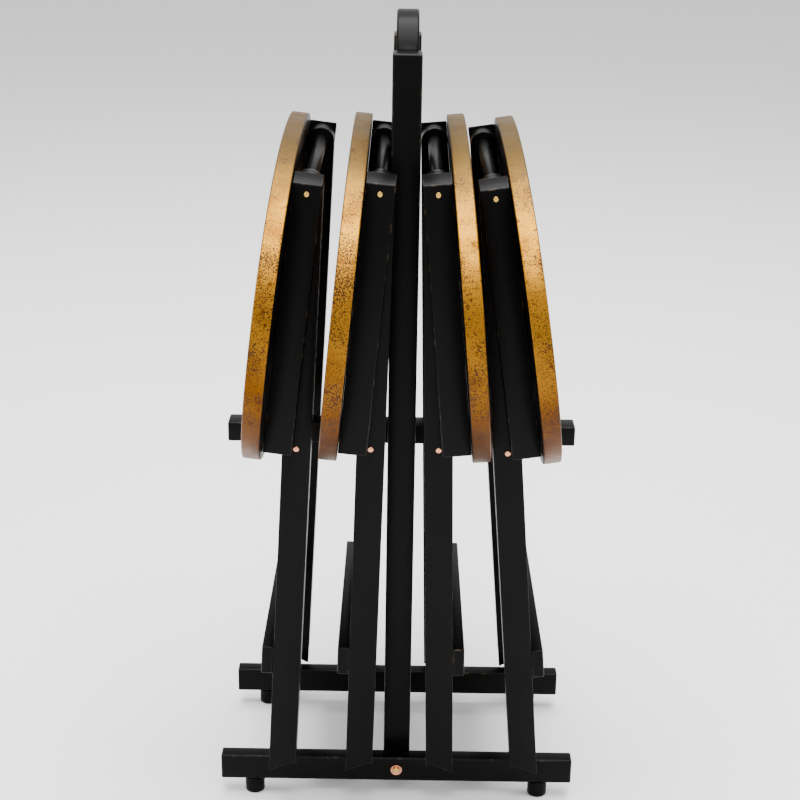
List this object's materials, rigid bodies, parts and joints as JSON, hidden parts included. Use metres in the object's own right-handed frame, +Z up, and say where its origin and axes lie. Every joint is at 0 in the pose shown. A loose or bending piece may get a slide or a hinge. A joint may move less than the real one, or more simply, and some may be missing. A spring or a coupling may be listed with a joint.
{
  "type": "folding tray table set on rack",
  "caption": "Oval folding tray tables stored folded on a wooden rack with a cross arm and a carry handle.",
  "frame": {"origin": "on the floor, under the middle of the rack", "axes": "+Z up, +X to the right and +Y to the back as the rack is seen from the front, with the cross arm along X and the long axis of the oval tops along Y"},
  "size_m": [0.382, 0.506, 0.832],
  "materials": {
    "black_lacquer": "satin black lacquer on wood",
    "gold_leaf": "antiqued gold leaf on wood",
    "brass": "polished, slightly coppery brass"
  },
  "bodies": {
    "rack": {"arm_rail": "black_lacquer", "back_foot_bar": "black_lacquer", "back_left_glide": "black_lacquer", "back_post": "black_lacquer", "back_right_glide": "black_lacquer", "base_rail": "black_lacquer", "carry_handle": "black_lacquer", "cross_arm": "black_lacquer", "front_foot_bar": "black_lacquer", "front_left_glide": "black_lacquer", "front_post": "black_lacquer", "front_right_glide": "black_lacquer"},
    "left_outer_top": {"left_outer_tray": "gold_leaf", "left_outer_front_cleat": "black_lacquer", "left_outer_back_cleat": "black_lacquer"},
    "left_outer_legs": {"left_outer_back_inner_leg": "black_lacquer", "left_outer_back_outer_leg": "black_lacquer", "left_outer_back_rivet": "brass", "left_outer_front_inner_leg": "black_lacquer", "left_outer_front_outer_leg": "black_lacquer", "left_outer_front_rivet": "brass", "left_outer_inner_stretcher": "black_lacquer", "left_outer_outer_stretcher": "black_lacquer", "left_outer_top_dowel": "black_lacquer"},
    "left_inner_top": {"left_inner_tray": "gold_leaf", "left_inner_front_cleat": "black_lacquer", "left_inner_back_cleat": "black_lacquer"},
    "left_inner_legs": {"left_inner_back_inner_leg": "black_lacquer", "left_inner_back_outer_leg": "black_lacquer", "left_inner_back_rivet": "brass", "left_inner_front_inner_leg": "black_lacquer", "left_inner_front_outer_leg": "black_lacquer", "left_inner_front_rivet": "brass", "left_inner_inner_stretcher": "black_lacquer", "left_inner_outer_stretcher": "black_lacquer", "left_inner_top_dowel": "black_lacquer"},
    "right_inner_top": {"right_inner_tray": "gold_leaf", "right_inner_front_cleat": "black_lacquer", "right_inner_back_cleat": "black_lacquer"},
    "right_inner_legs": {"right_inner_back_inner_leg": "black_lacquer", "right_inner_back_outer_leg": "black_lacquer", "right_inner_back_rivet": "brass", "right_inner_front_inner_leg": "black_lacquer", "right_inner_front_outer_leg": "black_lacquer", "right_inner_front_rivet": "brass", "right_inner_inner_stretcher": "black_lacquer", "right_inner_outer_stretcher": "black_lacquer", "right_inner_top_dowel": "black_lacquer"},
    "right_outer_top": {"right_outer_tray": "gold_leaf", "right_outer_front_cleat": "black_lacquer", "right_outer_back_cleat": "black_lacquer"},
    "right_outer_legs": {"right_outer_back_inner_leg": "black_lacquer", "right_outer_back_outer_leg": "black_lacquer", "right_outer_back_rivet": "brass", "right_outer_front_inner_leg": "black_lacquer", "right_outer_front_outer_leg": "black_lacquer", "right_outer_front_rivet": "brass", "right_outer_inner_stretcher": "black_lacquer", "right_outer_outer_stretcher": "black_lacquer", "right_outer_top_dowel": "black_lacquer"}
  },
  "joints": [
    {"name": "left_inner_slide", "type": "slide", "parent": "rack", "child": "left_inner_top", "axis": [-1, 0, 0], "range_m": [0, 1]},
    {"name": "left_outer_slide", "type": "slide", "parent": "left_inner_top", "child": "left_outer_top", "axis": [-1, 0, 0], "range_m": [0, 1]},
    {"name": "right_inner_slide", "type": "slide", "parent": "rack", "child": "right_inner_top", "axis": [1, 0, 0], "range_m": [0, 1]},
    {"name": "right_outer_slide", "type": "slide", "parent": "right_inner_top", "child": "right_outer_top", "axis": [1, 0, 0], "range_m": [0, 1]},
    {"name": "left_outer_leg_hinge", "type": "hinge", "parent": "left_outer_top", "child": "left_outer_legs", "pos_m": [-0.0915, 0, 0.68059], "axis": [0, -1, 0], "range_deg": [0, 86]},
    {"name": "left_inner_leg_hinge", "type": "hinge", "parent": "left_inner_top", "child": "left_inner_legs", "pos_m": [-0.0237, 0, 0.68163], "axis": [0, -1, 0], "range_deg": [0, 86]},
    {"name": "right_inner_leg_hinge", "type": "hinge", "parent": "right_inner_top", "child": "right_inner_legs", "pos_m": [0.0305, 0, 0.6817], "axis": [0, 1, 0], "range_deg": [0, 86]},
    {"name": "right_outer_leg_hinge", "type": "hinge", "parent": "right_outer_top", "child": "right_outer_legs", "pos_m": [0.0835, 0, 0.67871], "axis": [0, 1, 0], "range_deg": [0, 86]}
  ],
  "couplings": [
    {"joint": "left_outer_leg_hinge", "follows": "left_outer_slide", "rad_per_m": 1.5},
    {"joint": "left_inner_leg_hinge", "follows": "left_inner_slide", "rad_per_m": 1.5},
    {"joint": "right_inner_leg_hinge", "follows": "right_inner_slide", "rad_per_m": 1.5},
    {"joint": "right_outer_leg_hinge", "follows": "right_outer_slide", "rad_per_m": 1.5}
  ]
}
